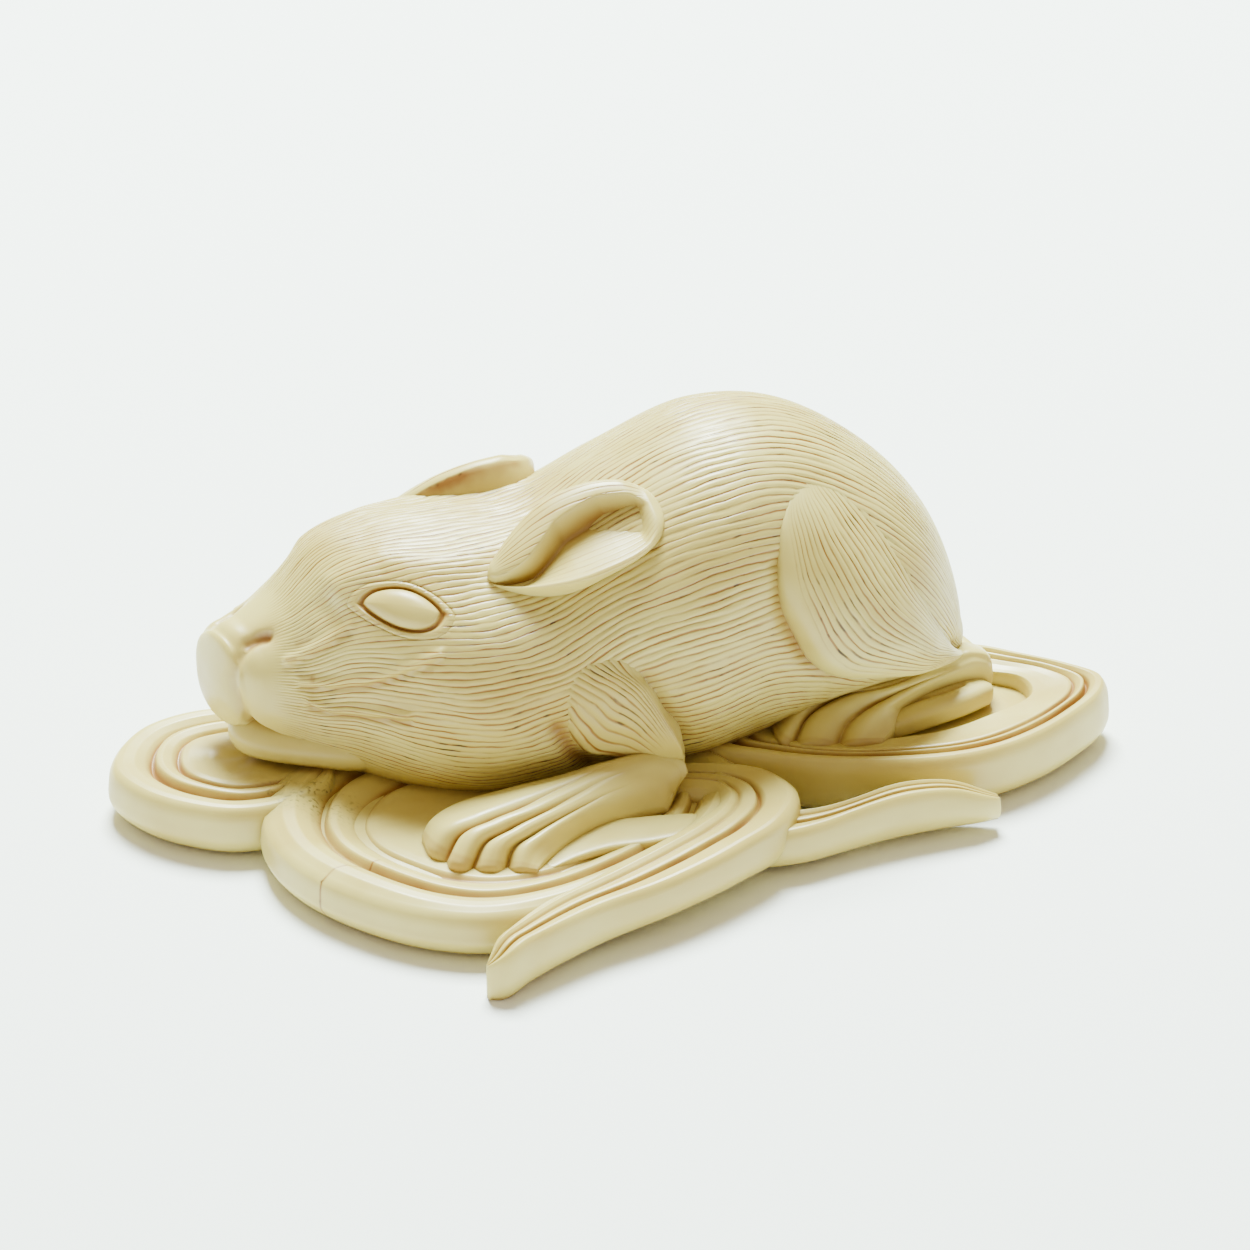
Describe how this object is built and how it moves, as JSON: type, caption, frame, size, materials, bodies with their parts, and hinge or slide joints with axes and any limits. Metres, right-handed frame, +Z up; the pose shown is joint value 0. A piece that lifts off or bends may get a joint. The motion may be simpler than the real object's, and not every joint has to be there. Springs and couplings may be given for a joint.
{
  "type": "okimono",
  "caption": "Small carved ivory ornament of a hare lying with its chin down and ears back on a bed of swirling clouds.",
  "frame": {"origin": "middle of the resting face, under the centre of the bounding box", "axes": "+X from nose to tail, +Y away from the side with the pointed cloud tails, +Z up"},
  "size_m": [0.0718, 0.0552, 0.0266],
  "materials": {
    "ivory": "aged elephant ivory, hand carved and polished to a soft gloss, warm cream with brown stain in the cuts"
  },
  "bodies": {
    "root": {"hare_on_clouds": "ivory"}
  },
  "joints": []
}
